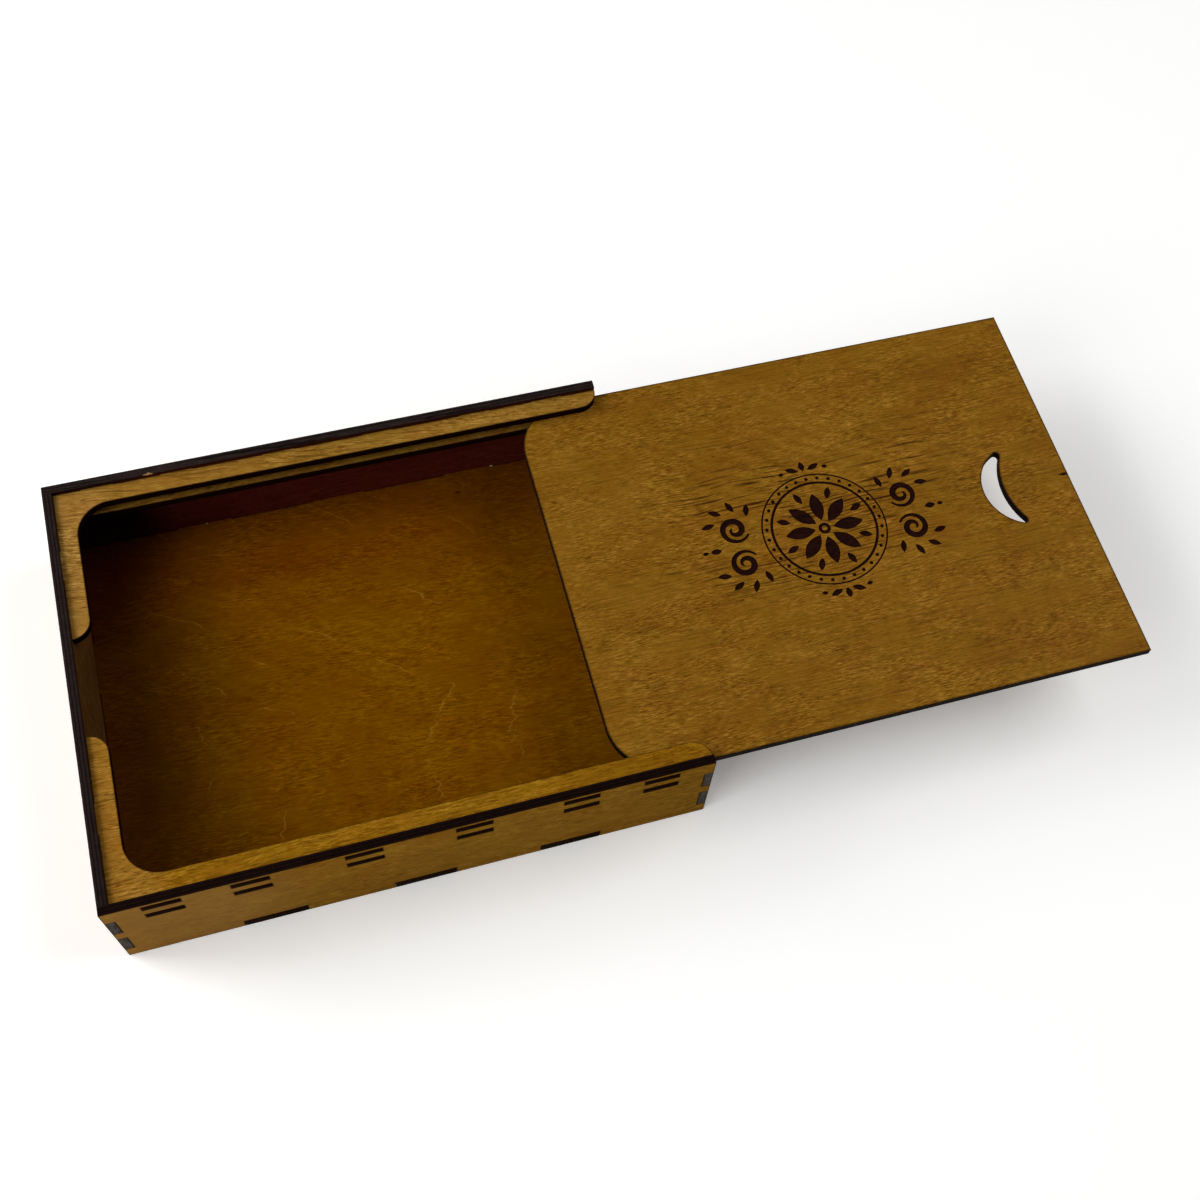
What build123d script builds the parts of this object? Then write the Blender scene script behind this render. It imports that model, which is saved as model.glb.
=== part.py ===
from build123d import *
import os

# A flat wooden storage box with a sliding lid, cut from thin plywood sheet.
# Millimetres. X runs along the box, the open end at +X. Y runs from the front to the back.
# Z is up. The origin is the middle of the underside. The lid is drawn most of the way out.

# Outside of the box
box_length = 200.0
box_depth = 158.5
wall_height = 45.0

# Sheet thicknesses
wall_sheet = 3.2
floor_sheet = 5.0
rail_sheet = 3.2
lid_sheet = 3.2

# Rails, which hold the lid between them
rail_width = 6.7
rail_recess = 1.7
rail_inner_round = 12.0
thumb_gap = 36.0

# Tabs that hold the rails in the walls
rail_tab_width = 11.8
rail_tab_pitch = 36.0
rail_tab_inset = 18.5
rail_tab_least_gap = 6.0

# Tabs that hold the floor in the walls
floor_tab_width = 21.0
floor_tab_pitch = 51.0
long_side_tab_count = 3
end_side_tab_count = 2

# Fingers that lock the end walls into the long walls
finger_foot = 7.0
finger_spacing = 6.0
finger_count = 2

# Lid
lid_corner_round = 20.0
lid_drawn_out = 165.0
crescent_set_back = 34.5
crescent_span = 33.5
crescent_depth = 13.5
crescent_waist = 8.0
crescent_tip_round = 1.3

# Clearances
tab_fit = 0.05
lid_side_play = 0.3
lid_end_play = 0.3
lid_play_above = 0.35
lid_play_below = 0.35

# Planes and levels that follow from the sizes above
end_x = box_length / 2
side_y = box_depth / 2
inner_x = end_x - wall_sheet
inner_y = side_y - wall_sheet

upper_rail_top = wall_height - rail_recess
upper_rail_base = upper_rail_top - rail_sheet
lid_top = upper_rail_base - lid_play_above
lid_base = lid_top - lid_sheet
lower_rail_top = lid_base - lid_play_below
lower_rail_base = lower_rail_top - rail_sheet
open_end_height = lower_rail_top

finger_room = open_end_height - finger_foot - (finger_count - 1) * finger_spacing
finger_height = finger_room / finger_count

lid_length = box_length - wall_sheet - lid_end_play
lid_half_width = inner_y - lid_side_play


def block(x, y, z):
    """A rectangular block between the given pairs of limits."""
    size = (x[1] - x[0], y[1] - y[0], z[1] - z[0])
    return Pos(x[0], y[0], z[0]) * Box(*size, align=(Align.MIN, Align.MIN, Align.MIN))


def widened(limits, play):
    """A pair of limits moved apart by a clearance on each side."""
    return (limits[0] - play, limits[1] + play)


def row_of(count, pitch):
    """Places of evenly spaced tabs, centred on the middle of a side."""
    return [(i - (count - 1) / 2) * pitch for i in range(count)]


def rail_tab_places():
    """Places of the rail tabs along a long wall: an evenly spaced run and one near each end."""
    outermost = end_x - rail_tab_inset
    last_inner = outermost - rail_tab_width - rail_tab_least_gap
    places = [-outermost, outermost]
    place = rail_tab_pitch / 2
    while place <= last_inner:
        places += [-place, place]
        place += rail_tab_pitch
    return sorted(places)


def tab_limits(place, width):
    """Where a tab of the given width begins and ends along its side."""
    return (place - width / 2, place + width / 2)


def leg_tab_place():
    """Middle of a rail's short leg, where its one tab sits."""
    return (inner_y + thumb_gap / 2) / 2


def finger_limits(index):
    """Lowest and highest level of one finger, counted from the bottom."""
    low = finger_foot + index * (finger_height + finger_spacing)
    return (low, low + finger_height)


def back_wall():
    """Long wall on the back side, full height, with all its slots and notches."""
    thickness = (inner_y, side_y)
    wall = block((-end_x, end_x), thickness, (0, wall_height))
    for place in rail_tab_places():
        slot = widened(tab_limits(place, rail_tab_width), tab_fit)
        for level in ((upper_rail_base, upper_rail_top), (lower_rail_base, lower_rail_top)):
            wall -= block(slot, thickness, widened(level, tab_fit))
    for place in row_of(long_side_tab_count, floor_tab_pitch):
        notch = widened(tab_limits(place, floor_tab_width), tab_fit)
        wall -= block(notch, thickness, (0, floor_sheet + tab_fit))
    for index in range(finger_count):
        level = widened(finger_limits(index), tab_fit)
        wall -= block((-end_x, -inner_x), thickness, level)
        wall -= block((inner_x, end_x), thickness, level)
    return wall


def end_wall_blank(height):
    """Wall between the two long walls, drawn at the open end, with its fingers and floor notches."""
    thickness = (inner_x, end_x)
    wall = block(thickness, (-inner_y, inner_y), (0, height))
    for index in range(finger_count):
        wall += block(thickness, (-side_y, side_y), finger_limits(index))
    for place in row_of(end_side_tab_count, floor_tab_pitch):
        notch = widened(tab_limits(place, floor_tab_width), tab_fit)
        wall -= block(thickness, notch, (0, floor_sheet + tab_fit))
    return wall


def open_end_wall():
    """Low end wall that the lid slides over."""
    return end_wall_blank(open_end_height)


def closed_end_wall():
    """Full-height end wall that stops the lid, slotted for the short legs of the upper rails."""
    wall = end_wall_blank(wall_height)
    for place in (-leg_tab_place(), leg_tab_place()):
        slot = widened(tab_limits(place, rail_tab_width), tab_fit)
        wall -= block((inner_x, end_x), slot, widened((upper_rail_base, upper_rail_top), tab_fit))
    return mirror(wall, about=Plane.YZ)


def floor_panel():
    """Floor between the walls, with a tab through each notch at the walls' feet."""
    level = (0, floor_sheet)
    floor = block((-inner_x, inner_x), (-inner_y, inner_y), level)
    for place in row_of(long_side_tab_count, floor_tab_pitch):
        floor += block(tab_limits(place, floor_tab_width), (-side_y, side_y), level)
    for place in row_of(end_side_tab_count, floor_tab_pitch):
        floor += block((-end_x, end_x), tab_limits(place, floor_tab_width), level)
    return floor


def upper_rail_outline():
    """Plan of the back upper rail: a long leg to the open end and a short leg to the thumb gap."""
    leg_x = rail_width - inner_x
    rail_y = inner_y - rail_width
    tip_y = thumb_gap / 2
    with BuildSketch() as plan:
        with BuildLine():
            Line((-inner_x, inner_y), (end_x, inner_y))
            RadiusArc((end_x, inner_y), (end_x - rail_width, rail_y), rail_width)
            Line((end_x - rail_width, rail_y), (leg_x + rail_inner_round, rail_y))
            RadiusArc(
                (leg_x + rail_inner_round, rail_y),
                (leg_x, rail_y - rail_inner_round),
                -rail_inner_round,
            )
            Line((leg_x, rail_y - rail_inner_round), (leg_x, tip_y + rail_width))
            RadiusArc((leg_x, tip_y + rail_width), (-inner_x, tip_y), rail_width)
            Line((-inner_x, tip_y), (-inner_x, inner_y))
        make_face()
    return plan.sketch


def back_upper_rail():
    """Bent rail above the lid, tabbed into the back wall and the closed end wall."""
    level = (upper_rail_base, upper_rail_top)
    rail = extrude(Pos(0, 0, upper_rail_base) * upper_rail_outline(), amount=rail_sheet)
    for place in rail_tab_places():
        rail += block(tab_limits(place, rail_tab_width), (inner_y, side_y), level)
    rail += block((-end_x, -inner_x), tab_limits(leg_tab_place(), rail_tab_width), level)
    return rail


def back_lower_rail():
    """Straight rail under the lid, tabbed into the back wall."""
    level = (lower_rail_base, lower_rail_top)
    rail = block((-inner_x, inner_x), (inner_y - rail_width, inner_y), level)
    for place in rail_tab_places():
        rail += block(tab_limits(place, rail_tab_width), (inner_y, side_y), level)
    return rail


def crescent():
    """Plan of the finger hole: the space between two arcs, with rounded tips.

    Its crown points along -X and the middle of the crown is at the origin.
    """
    half_span = crescent_span / 2
    with BuildSketch() as plan:
        with BuildLine():
            ThreePointArc((crescent_depth, -half_span), (0, 0), (crescent_depth, half_span))
            ThreePointArc((crescent_depth, half_span), (crescent_waist, 0), (crescent_depth, -half_span))
        make_face()
        fillet(plan.vertices(), radius=crescent_tip_round)
    return plan.sketch


def sliding_lid():
    """Lid with two rounded inner corners, a square outer end and the finger hole."""
    outer_end = end_x + lid_drawn_out
    inner_end = outer_end - lid_length
    lid = block((inner_end, outer_end), (-lid_half_width, lid_half_width), (lid_base, lid_top))
    inner_corners = lid.edges().filter_by(Axis.Z).group_by(Axis.X)[0]
    lid = fillet(inner_corners, radius=lid_corner_round)
    hole_place = Pos(outer_end - crescent_set_back, 0, lid_base)
    return lid - extrude(hole_place * crescent(), amount=lid_sheet)


def mirrored_to_front(piece):
    """The matching piece on the front side of the box."""
    return mirror(piece, about=Plane.XZ)


def build():
    """Every piece of the box, by name."""
    wall = back_wall()
    upper_rail = back_upper_rail()
    lower_rail = back_lower_rail()
    return {
        "floor_panel": floor_panel(),
        "back_wall": wall,
        "front_wall": mirrored_to_front(wall),
        "closed_end_wall": closed_end_wall(),
        "open_end_wall": open_end_wall(),
        "back_upper_rail": upper_rail,
        "front_upper_rail": mirrored_to_front(upper_rail),
        "back_lower_rail": lower_rail,
        "front_lower_rail": mirrored_to_front(lower_rail),
        "sliding_lid": sliding_lid(),
    }


os.makedirs("parts", exist_ok=True)
for name, piece in build().items():
    export_step(piece, f"parts/{name}.step")
    print(name, round(piece.volume, 1))
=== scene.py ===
"""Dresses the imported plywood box: stained birch sheets, burnt cut edges and a carved lid.

Sizes are written in millimetres and turned into metres where a mesh or a node needs them.
X runs along the box to its open end, Y from the front to the back, and Z is up.
"""

import logging
import math
from dataclasses import dataclass, fields, replace
from enum import Enum
from typing import ClassVar

import bmesh
import bpy
from mathutils import Matrix, Vector


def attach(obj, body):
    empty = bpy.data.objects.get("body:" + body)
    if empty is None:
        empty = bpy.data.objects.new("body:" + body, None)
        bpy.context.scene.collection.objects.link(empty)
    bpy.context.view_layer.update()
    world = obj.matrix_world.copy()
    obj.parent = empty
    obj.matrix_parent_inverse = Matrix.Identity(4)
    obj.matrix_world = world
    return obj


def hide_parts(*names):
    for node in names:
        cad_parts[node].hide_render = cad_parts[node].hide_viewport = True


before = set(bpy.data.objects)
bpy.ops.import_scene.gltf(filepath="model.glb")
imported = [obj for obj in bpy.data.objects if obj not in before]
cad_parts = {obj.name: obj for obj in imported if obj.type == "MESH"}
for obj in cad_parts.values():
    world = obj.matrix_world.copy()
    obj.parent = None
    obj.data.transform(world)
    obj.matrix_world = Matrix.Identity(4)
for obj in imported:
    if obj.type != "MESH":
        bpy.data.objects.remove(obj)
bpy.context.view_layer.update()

MM = 0.001
SCORCH = "scorch"
DEPTH = "depth"
log = logging.getLogger("plywood_box")

Colour = tuple[float, float, float, float]
Triple = tuple[float, float, float]
Socket = bpy.types.NodeSocket
Tree = bpy.types.NodeTree
WHITE: Colour = (1.0, 1.0, 1.0, 1.0)


def tint(red: float, green: float, blue: float) -> Colour:
    """Turn a colour as seen on a screen into the linear colour that a shader takes.

    Args:
        red: Red, 0 to 255.
        green: Green, 0 to 255.
        blue: Blue, 0 to 255.

    Returns:
        The linear colour with full opacity.
    """
    linear = []
    for channel in (red, green, blue):
        share = channel / 255
        linear.append(share / 12.92 if share <= 0.04045 else ((share + 0.055) / 1.055) ** 2.4)
    return (linear[0], linear[1], linear[2], 1.0)


class Lay(Enum):
    """How a sheet stands in the box, which sets the way its grain and its thickness run."""

    LEVEL = "level"
    ALONG = "along"
    ACROSS = "across"

    @property
    def thickness_axis(self) -> int:
        """Index of the axis that runs through the sheet."""
        return {Lay.LEVEL: 2, Lay.ALONG: 1, Lay.ACROSS: 0}[self]

    @property
    def turn(self) -> Matrix:
        """Rotation from the box's axes to along the grain, across it and through the sheet.

        Returns:
            The rotation.
        """
        rows = {
            Lay.LEVEL: ((1, 0, 0), (0, 1, 0), (0, 0, 1)),
            Lay.ALONG: ((1, 0, 0), (0, 0, 1), (0, -1, 0)),
            Lay.ACROSS: ((0, 1, 0), (0, 0, 1), (1, 0, 0)),
        }[self]
        return Matrix(rows)


class Body(Enum):
    """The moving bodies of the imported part."""

    BOX = "box"
    LID = "lid"


class Slot(Enum):
    """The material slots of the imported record."""

    FLOOR = "floor_ply"
    WALL = "wall_ply"
    RAIL = "rail_ply"
    LID = "lid_ply"


class Laid(Enum):
    """How the colour of a marked place lies on the wood."""

    OVER = "MIX"
    GLAZE = "MULTIPLY"


@dataclass(frozen=True)
class Noise:
    """A noise whose patches have a set size along, across and through a sheet, in millimetres.

    A mask made of it fades in between its low and its high value.
    """

    pitch: Triple
    detail: float = 2.0
    roughness: float = 0.5
    warp: float = 0.0
    low: float = 0.0
    high: float = 1.0


class Bench:
    """Lays nodes out in one tree and joins them."""

    def __init__(self, tree: Tree) -> None:
        """Start on a tree, which may already hold nodes."""
        self.tree = tree

    def node(self, kind: str, **settings: object) -> bpy.types.Node:
        """Add a node.

        Args:
            kind: The kind of node.
            **settings: Properties of the node and their values.

        Returns:
            The new node.
        """
        made = self.tree.nodes.new(kind)
        for name, value in settings.items():
            setattr(made, name, value)
        return made

    def feed(self, socket: Socket, value: object) -> None:
        """Join a socket to the one that feeds it, or give it a plain value.

        Args:
            socket: The input socket.
            value: An output socket or a value.
        """
        if isinstance(value, Socket):
            self.tree.links.new(value, socket)
        else:
            socket.default_value = value

    def math(self, operation: str, *values: object, clamp: bool = False) -> Socket:
        """Work out one step of arithmetic.

        Args:
            operation: The Math node's operation.
            *values: One to three numbers or sockets.
            clamp: Whether the result is kept from 0 to 1.

        Returns:
            The result.
        """
        made = self.node("ShaderNodeMath", operation=operation, use_clamp=clamp)
        for socket, value in zip(made.inputs, values):
            self.feed(socket, value)
        return made.outputs[0]

    def times(self, first: object, second: object) -> Socket:
        """Multiply two numbers."""
        return self.math("MULTIPLY", first, second)

    def minus(self, first: object, second: object) -> Socket:
        """Take the second number from the first."""
        return self.math("SUBTRACT", first, second)

    def unsigned(self, value: object) -> Socket:
        """Drop a number's sign."""
        return self.math("ABSOLUTE", value)

    def total(self, *terms: tuple[object, float]) -> Socket:
        """Add up several values, each with its own weight.

        Args:
            *terms: Pairs of a value and its weight.

        Returns:
            The weighted sum.
        """
        result: object = 0.0
        for value, weight in terms:
            result = self.math("MULTIPLY_ADD", value, weight, result)
        return result

    def vector(self, operation: str, *values: object) -> Socket:
        """Work out one step of vector arithmetic.

        Args:
            operation: The Vector Math node's operation.
            *values: One to three vectors or sockets.

        Returns:
            The resulting vector or number.
        """
        made = self.node("ShaderNodeVectorMath", operation=operation)
        for socket, value in zip(made.inputs, values):
            self.feed(socket, value)
        return next(socket for socket in made.outputs if socket.enabled)

    def split(self, vector: object) -> tuple[Socket, ...]:
        """Take a vector apart.

        Args:
            vector: The vector.

        Returns:
            Its three numbers.
        """
        made = self.node("ShaderNodeSeparateXYZ")
        self.feed(made.inputs[0], vector)
        return tuple(made.outputs)

    def gather(self, *parts: object) -> Socket:
        """Make a vector.

        Args:
            *parts: Up to three numbers.

        Returns:
            The vector.
        """
        made = self.node("ShaderNodeCombineXYZ")
        for socket, part in zip(made.inputs, parts):
            self.feed(socket, part)
        return made.outputs[0]

    def scaled(self, vector: object, factor: object) -> Socket:
        """Make a vector longer or shorter.

        Args:
            vector: The vector.
            factor: How many times as long it gets.

        Returns:
            The scaled vector.
        """
        made = self.node("ShaderNodeVectorMath", operation="SCALE")
        self.feed(made.inputs[0], vector)
        self.feed(made.inputs["Scale"], factor)
        return made.outputs[0]

    def noise(self, place: object, kind: Noise) -> Socket:
        """Read a noise.

        Args:
            place: Position in millimetres.
            kind: The noise.

        Returns:
            A value from 0 to 1, mostly near 0.5.
        """
        made = self.node("ShaderNodeTexNoise", noise_dimensions="3D")
        scale = tuple(1 / size for size in kind.pitch)
        self.feed(made.inputs["Vector"], self.vector("MULTIPLY", place, scale))
        for label, value in (("Scale", 1.0), ("Detail", kind.detail),
                             ("Roughness", kind.roughness), ("Distortion", kind.warp)):
            self.feed(made.inputs[label], value)
        return made.outputs[0]

    def fade(self, value: object, low: float, high: float, start: float = 0.0,
             end: float = 1.0) -> Socket:
        """Turn a range of values smoothly into another one.

        Args:
            value: What is read.
            low: Where the change begins.
            high: Where the change is complete.
            start: Result at or before the beginning.
            end: Result at or past the end.

        Returns:
            The faded value.
        """
        made = self.node("ShaderNodeMapRange", interpolation_type="SMOOTHSTEP")
        for socket, number in zip(made.inputs, (value, low, high, start, end)):
            self.feed(socket, number)
        return made.outputs[0]

    def mask(self, place: object, kind: Noise, start: float = 0.0, end: float = 1.0) -> Socket:
        """Fade a noise in between its two limits, from the start value to the end value."""
        return self.fade(self.noise(place, kind), kind.low, kind.high, start, end)

    def mix(self, share: object, first: object, second: object,
            laid: Laid = Laid.OVER) -> Socket:
        """Mix two colours.

        Args:
            share: How much of the second colour shows.
            first: Colour at 0.
            second: Colour at 1.
            laid: How the second one lies on the first.

        Returns:
            The mixed colour.
        """
        made = self.node("ShaderNodeMix", data_type="RGBA", blend_type=laid.value)
        named = self.by_identifier(made)
        self.feed(named["Factor_Float"], share)
        self.feed(named["A_Color"], first)
        self.feed(named["B_Color"], second)
        return next(socket for socket in made.outputs if socket.identifier == "Result_Color")

    @staticmethod
    def by_identifier(made: bpy.types.Node) -> dict[str, Socket]:
        """A node's inputs by their identifiers."""
        return {socket.identifier: socket for socket in made.inputs}

    def surface(self, colour: object, roughness: object, height: object, depth: float,
                sheen: float) -> None:
        """End a material's tree in its shader.

        Args:
            colour: Its colour.
            roughness: Its roughness.
            height: Its relief, 0 to 1.
            depth: How deep the relief is, in millimetres.
            sheen: How strongly it mirrors light.
        """
        bump = self.node("ShaderNodeBump")
        bump.inputs["Strength"].default_value = 1.0
        bump.inputs["Distance"].default_value = depth * MM
        self.feed(bump.inputs["Height"], height)
        shader = self.node("ShaderNodeBsdfPrincipled")
        shader.inputs["Specular IOR Level"].default_value = sheen
        for label, value in (("Base Color", colour), ("Roughness", roughness),
                             ("Normal", bump.outputs[0])):
            self.feed(shader.inputs[label], value)
        self.feed(self.node("ShaderNodeOutputMaterial").inputs["Surface"], shader.outputs[0])

    def use(self, group: Tree, **values: object) -> bpy.types.Node:
        """Place a shared group and feed its inputs.

        Args:
            group: The group.
            **values: Values by input name, with _ for a space.

        Returns:
            The group's node.
        """
        made = self.node("ShaderNodeGroup", node_tree=group)
        for name, value in values.items():
            self.feed(made.inputs[name.replace("_", " ")], value)
        return made


def cleared(owner: bpy.types.Material | bpy.types.World) -> Bench:
    """Empty the node tree of a material or of the world.

    Args:
        owner: What the tree belongs to.

    Returns:
        A bench on the empty tree.
    """
    owner.use_nodes = True
    owner.node_tree.nodes.clear()
    return Bench(owner.node_tree)


class GroupMaker(Bench):
    """Builds one shared shader group with named sockets."""

    KINDS = {"value": "NodeSocketFloat", "colour": "NodeSocketColor", "vector": "NodeSocketVector"}

    def __init__(self, name: str, inputs: dict[str, str], outputs: dict[str, str]) -> None:
        """Make an empty group.

        Args:
            name: Name of the group.
            inputs: Kind of each input by its name.
            outputs: Kind of each output by its name.
        """
        super().__init__(bpy.data.node_groups.new(name, "ShaderNodeTree"))
        for side, sockets in (("INPUT", inputs), ("OUTPUT", outputs)):
            for label, kind in sockets.items():
                self.tree.interface.new_socket(name=label, in_out=side,
                                               socket_type=self.KINDS[kind])
        self.given = self.node("NodeGroupInput").outputs
        self.result = self.node("NodeGroupOutput").inputs

    def give(self, label: str, value: object) -> None:
        """Feed one of the group's outputs."""
        self.feed(self.result[label], value)


@dataclass(frozen=True)
class BirchGrain:
    """The grain of rotary-cut birch.

    Its growth lines are nested hooks, whose bends lie where the place across the grain is 0.
    """

    sway: Noise = Noise((34, 19, 20), 1)
    bend: Noise = Noise((52, 30, 60), 1)
    jag: Noise = Noise((26, 7, 30), 3, 0.55)
    broad: Noise = Noise((60, 20, 9))
    cloud: Noise = Noise((13, 5, 5), 3)
    ripple: Noise = Noise((1.4, 7, 5))
    streak: Noise = Noise((9, 0.75, 4), 3, 0.65)
    fibre: Noise = Noise((3.0, 0.33, 3), 2, 0.7)
    lively: Noise = Noise((24, 13, 9), low=0.35, high=0.65)
    short_fleck: Noise = Noise((2.6, 0.45, 3), 1.5, low=0.60, high=0.72)
    long_fleck: Noise = Noise((17, 0.8, 4), 1.6, warp=0.2, low=0.53, high=0.65)
    short_ground: Noise = Noise((20, 12, 6), low=0.38, high=0.66)
    long_ground: Noise = Noise((50, 16, 7), low=0.36, high=0.58)
    tick: Noise = Noise((2.8, 0.36, 3), 1.5, low=0.6, high=0.7)
    warm: Noise = Noise((22, 11, 9), 3, low=0.4, high=0.65)
    gaps: Noise = Noise((17, 13, 20), low=0.50, high=0.66)
    calmest: float = 0.45
    liveliest: float = 1.3
    sway_width: float = 4.0
    lean_above: float = 1.45
    lean_below: float = -0.2
    bend_width: float = 26.0
    jag_width: float = 13.0
    band_rate: float = 0.62
    line_core: float = 0.12
    line_edge: float = 0.6
    # Ticks and warm patches are read this far off, so that they don't follow the flecks.
    aside: Triple = (211.0, 97.0, 53.0)

    def build(self) -> Tree:
        """Build the grain's group.

        Returns:
            The group, which takes a place in millimetres and puts out tone, dark flecks, pale
            ticks, pale growth lines, warm patches and relief.
        """
        make = GroupMaker(
            "birch_grain",
            {"Place": "vector", "Line Spacing": "value", "Figure": "value"},
            {"Tone": "value", "Flecks": "value", "Ticks": "value", "Lines": "value",
             "Warmth": "value", "Relief": "value"},
        )
        given = make.given
        along, across, through = make.split(given["Place"])
        swayed = make.total((across, 1.0), (make.noise(given["Place"], self.sway), self.sway_width))
        place = make.gather(along, swayed, through)
        reach = make.total(
            (along, 1.0), (make.math("MAXIMUM", across, 0.0), self.lean_above),
            (make.math("MINIMUM", across, 0.0), self.lean_below),
            (make.noise(place, self.bend), self.bend_width),
            (make.noise(place, self.jag), self.jag_width))
        bands = make.math("SINE", make.times(reach, self.band_rate))

        streak = make.noise(place, self.streak)
        lively = make.mask(place, self.lively, self.calmest, self.liveliest)
        fibre = make.times(make.minus(make.noise(place, self.fibre), 0.5), lively)
        tone = make.total(
            (make.noise(place, self.broad), 0.55), (make.noise(place, self.cloud), 0.45),
            (make.noise(place, self.ripple), 0.15), (streak, 0.95), (fibre, 2.6),
            (make.times(bands, given["Figure"]), 0.09), (1.0, -0.55))
        make.give("Tone", make.math("ADD", tone, 0.0, clamp=True))

        short, long, where_short, where_long = (make.mask(place, kind) for kind in (
            self.short_fleck, self.long_fleck, self.short_ground, self.long_ground))
        flecks = make.math("MAXIMUM", make.times(short, make.times(where_short, 0.6)),
                           make.times(long, make.times(where_long, given["Figure"])))
        make.give("Flecks", flecks)
        aside = make.vector("ADD", place, self.aside)
        make.give("Ticks", make.times(make.mask(aside, self.tick), lively))
        make.give("Warmth", make.mask(aside, self.warm))

        turn = make.math("FRACT", make.math("DIVIDE", reach, given["Line Spacing"]))
        from_line = make.times(make.unsigned(make.minus(turn, 0.5)), given["Line Spacing"])
        line = make.fade(from_line, self.line_core, self.line_edge, 1.0, 0.0)
        make.give("Lines", make.times(line, make.mask(place, self.gaps)))
        make.give("Relief", make.total((streak, 0.5), (fibre, 0.6), (flecks, -0.5)))
        return make.tree


@dataclass(frozen=True)
class MarkedPlace:
    """A spot with a ragged outline, such as a pin knot, or a patch of painted light or shade."""

    outline: Noise = Noise((1.1, 0.45, 2))
    core: float = 0.55

    def build(self) -> Tree:
        """Build the spot's group.

        Returns:
            The group, which puts out how strongly the spot shows.
        """
        make = GroupMaker(
            "marked_place",
            {"Place": "vector", "Centre": "vector", "Size": "vector", "Ragged": "value"},
            {"Spot": "value"},
        )
        given = make.given
        away = make.vector("DIVIDE", make.vector("SUBTRACT", given["Place"], given["Centre"]),
                           given["Size"])
        ragged = make.minus(make.noise(given["Place"], self.outline), 0.5)
        reach = make.math("MULTIPLY_ADD", ragged, given["Ragged"], make.vector("LENGTH", away))
        make.give("Spot", make.fade(reach, self.core, 1.0, 1.0, 0.0))
        return make.tree


@dataclass(frozen=True)
class BurntCut:
    """The char that a cutting beam leaves on the edges of a sheet."""

    stria: Noise = Noise((0.5, 0.5, 8))
    blot: Noise = Noise((3.5, 3.5, 1.4), 3)
    grit: Noise = Noise((0.28, 0.28, 0.34))
    wander: Noise = Noise((5, 5, 9), 1)
    glue_level: float = 0.36

    def build(self) -> Tree:
        """Build the char's group.

        Returns:
            The group, which puts out the char's tone, its glue lines, its ash and its relief.
        """
        make = GroupMaker(
            "burnt_cut",
            {"Place": "vector", "Depth": "value", "Endways": "value"},
            {"Tone": "value", "Glue": "value", "Ash": "value", "Relief": "value"},
        )
        place, depth = make.given["Place"], make.given["Depth"]
        stria, blot, grit = (make.noise(place, kind) for kind in (self.stria, self.blot, self.grit))
        tone = make.total((stria, 0.5), (blot, 0.7), (grit, 1.1))
        make.give("Tone", make.math("ADD", tone, -0.65, clamp=True))
        level = make.total((depth, 1.0), (make.noise(place, self.wander), 0.3), (1.0, -0.15))
        from_glue = make.unsigned(make.minus(make.unsigned(level), self.glue_level))
        make.give("Glue", make.fade(from_glue, 0.05, 0.2, 1.0, 0.0))
        endways = make.fade(make.unsigned(make.given["Endways"]), 0.6, 0.95)
        patch = make.fade(make.total((blot, 0.6), (grit, 0.4)), 0.36, 0.56, 0.35, 1.0)
        inside = make.fade(make.unsigned(depth), 0.72, 0.95, 1.0, 0.0)
        make.give("Ash", make.times(endways, make.times(patch, inside)))
        make.give("Relief", make.total((stria, 0.8), (grit, 0.4)))
        return make.tree


@dataclass(frozen=True)
class ScorchRim:
    """The brown rim beside a burnt edge."""

    outline: Noise = Noise((1.3, 0.9, 2), 3)
    falling_off: float = 1.8

    def build(self) -> Tree:
        """Build the rim's group.

        Returns:
            The group, which puts out how far the rim and the char reach at a point.
        """
        make = GroupMaker(
            "scorch_rim",
            {"Place": "vector", "Nearness": "value", "Facing": "value"},
            {"Rim": "value", "Cut": "value"},
        )
        given = make.given
        ragged = make.noise(given["Place"], self.outline)
        near = make.total((given["Nearness"], 1.0), (ragged, 0.4), (1.0, -0.2))
        make.give("Rim", make.math("POWER", make.fade(near, 0.05, 1.0), self.falling_off))
        make.give("Cut", make.fade(make.unsigned(given["Facing"]), 0.55, 0.93, 1.0, 0.0))
        return make.tree


@dataclass(frozen=True)
class SharedGroups:
    """The shader groups that the sheets' materials share."""

    grain: Tree
    cut: Tree
    rim: Tree
    spot: Tree


@dataclass(frozen=True)
class Spot:
    """A marked place on a sheet, in millimetres of the box's frame."""

    centre: Triple
    size: Triple
    colour: Colour = tint(38, 12, 6)
    strength: float = 1.0
    ragged: float = 0.9
    laid: Laid = Laid.OVER


def painted_light_or_shade(centre: Triple, size: Triple, glaze: Triple) -> Spot:
    """Mark a place whose colour is multiplied, darker for painted shade and lighter for painted
    light, with the grain still showing.

    Args:
        centre: Its middle.
        size: How far it reaches each way.
        glaze: What the wood's red, green and blue are multiplied by.

    Returns:
        The marked place.
    """
    return Spot(centre, size, (*glaze, 1.0), 1.0, 0.0, Laid.GLAZE)


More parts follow.
